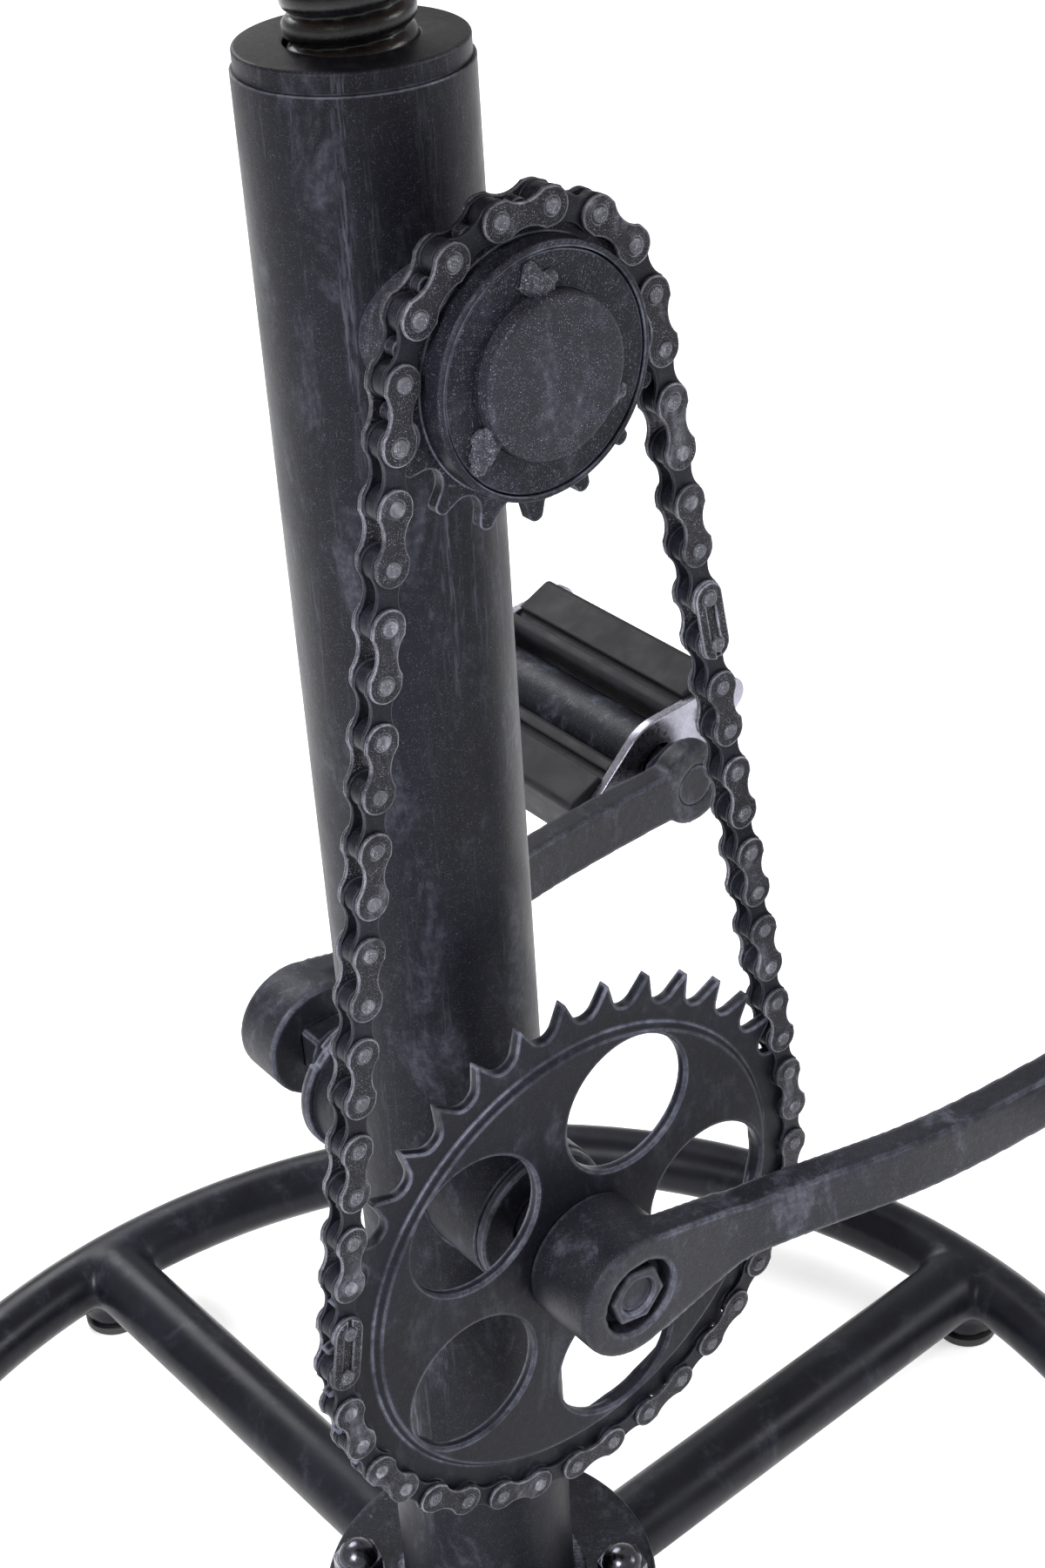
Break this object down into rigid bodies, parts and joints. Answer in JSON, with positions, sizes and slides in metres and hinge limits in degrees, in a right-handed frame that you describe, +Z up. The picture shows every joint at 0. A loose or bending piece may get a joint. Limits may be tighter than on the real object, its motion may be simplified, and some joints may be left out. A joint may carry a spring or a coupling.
{
  "type": "pedal bar stool",
  "caption": "Round padded bar stool on a screw-adjusted post and ring base, with bicycle cranks, pedals, chainring, chain and freewheel on the post as a foot rest.",
  "frame": {"origin": "on the floor, on the post's centre line", "axes": "+Z up the post; +X the way both cranks point at rest; -Y the chain side"},
  "size_m": [0.4621, 0.4622, 0.679],
  "materials": {
    "gunmetal": "satin black with a blue-grey cast, fine speckle and worn edges",
    "blackened_steel": "blackened and speckled, bare worn edges",
    "chain_steel": "blackened with light worn plate edges",
    "thread_steel": "oiled black, glossy crests",
    "worn_steel": "dull grey, rubbed bright on the edges",
    "bearing_steel": "polished",
    "tread_rubber": "matt",
    "glide_plastic": "matt",
    "guide_plastic": "matt",
    "plywood": "stained",
    "leather": "satin"
  },
  "bodies": {
    "stand": {"base_ring": "gunmetal", "base_spoke_front": "gunmetal", "base_spoke_rear": "gunmetal", "base_spoke_left": "gunmetal", "base_spoke_right": "gunmetal", "base_hub": "gunmetal", "hub_plate": "gunmetal", "post_flange": "gunmetal", "flange_bolts": "gunmetal", "flange_washers": "gunmetal", "cap_nuts": "gunmetal", "foot_stubs": "gunmetal", "floor_glides": "glide_plastic", "post_tube": "gunmetal", "post_nut": "gunmetal", "bracket_shell": "gunmetal", "bracket_cups": "gunmetal", "bracket_lock_ring": "gunmetal", "bracket_balls": "bearing_steel", "stub_axle": "blackened_steel", "tack_welds": "blackened_steel", "freewheel_inner": "blackened_steel", "freewheel_cone": "blackened_steel", "freewheel_balls": "bearing_steel", "freewheel_pawls": "worn_steel", "chain_outer_plates": "chain_steel", "chain_inner_plates": "chain_steel", "chain_pins": "chain_steel", "chain_rollers": "chain_steel", "chain_bushings": "chain_steel", "chain_clips": "chain_steel"},
    "freewheel": {"freewheel_sprocket": "blackened_steel"},
    "crank": {"crank_axle": "worn_steel", "chainring": "blackened_steel", "front_crank": "gunmetal", "rear_crank": "gunmetal", "axle_nuts": "worn_steel", "axle_washers": "worn_steel", "front_pedal_spindle": "worn_steel", "rear_pedal_spindle": "worn_steel", "pedal_balls": "bearing_steel"},
    "front_pedal": {"front_pedal_barrel": "worn_steel", "front_pedal_inner_plate": "worn_steel", "front_pedal_outer_plate": "worn_steel", "front_pedal_treads": "tread_rubber", "front_pedal_bolts": "worn_steel", "front_pedal_dust_cap": "worn_steel"},
    "rear_pedal": {"rear_pedal_barrel": "worn_steel", "rear_pedal_inner_plate": "worn_steel", "rear_pedal_outer_plate": "worn_steel", "rear_pedal_treads": "tread_rubber", "rear_pedal_bolts": "worn_steel", "rear_pedal_dust_cap": "worn_steel"},
    "guide": {"spindle_guide": "guide_plastic"},
    "seat": {"seat_spindle": "thread_steel", "guide_clip": "worn_steel", "seat_flange": "gunmetal", "seat_pan": "plywood", "seat_screws": "gunmetal", "seat_cushion": "leather"}
  },
  "joints": [
    {"name": "crank_spin", "type": "hinge", "parent": "stand", "child": "crank", "pos_m": [0, 0, 0.219], "axis": [0, -1, 0], "range_deg": [-50, 230], "deforming": ["chain_outer_plates", "chain_inner_plates", "chain_pins", "chain_rollers", "chain_bushings", "chain_clips"]},
    {"name": "freewheel_spin", "type": "hinge", "parent": "stand", "child": "freewheel", "pos_m": [0, 0, 0.45685], "axis": [0, -1, 0], "range_deg": [-113, 518]},
    {"name": "front_pedal_spin", "type": "hinge", "parent": "crank", "child": "front_pedal", "pos_m": [0.165, -0.15, 0.219], "axis": [0, -1, 0], "continuous": true},
    {"name": "rear_pedal_spin", "type": "hinge", "parent": "crank", "child": "rear_pedal", "pos_m": [0.165, 0.15, 0.219], "axis": [0, -1, 0], "continuous": true},
    {"name": "seat_rise", "type": "slide", "parent": "stand", "child": "guide", "axis": [0, 0, 1], "range_m": [-0.0661, 0.0961]},
    {"name": "seat_turn", "type": "hinge", "parent": "guide", "child": "seat", "pos_m": [0, 0, 0.6], "axis": [0, 0, 1], "range_deg": [-3960, 5760]}
  ],
  "couplings": [
    {"joint": "freewheel_spin", "follows": "crank_spin", "ratio": 2.25},
    {"joint": "seat_rise", "follows": "seat_turn", "m_per_rad": 0.00095493}
  ]
}
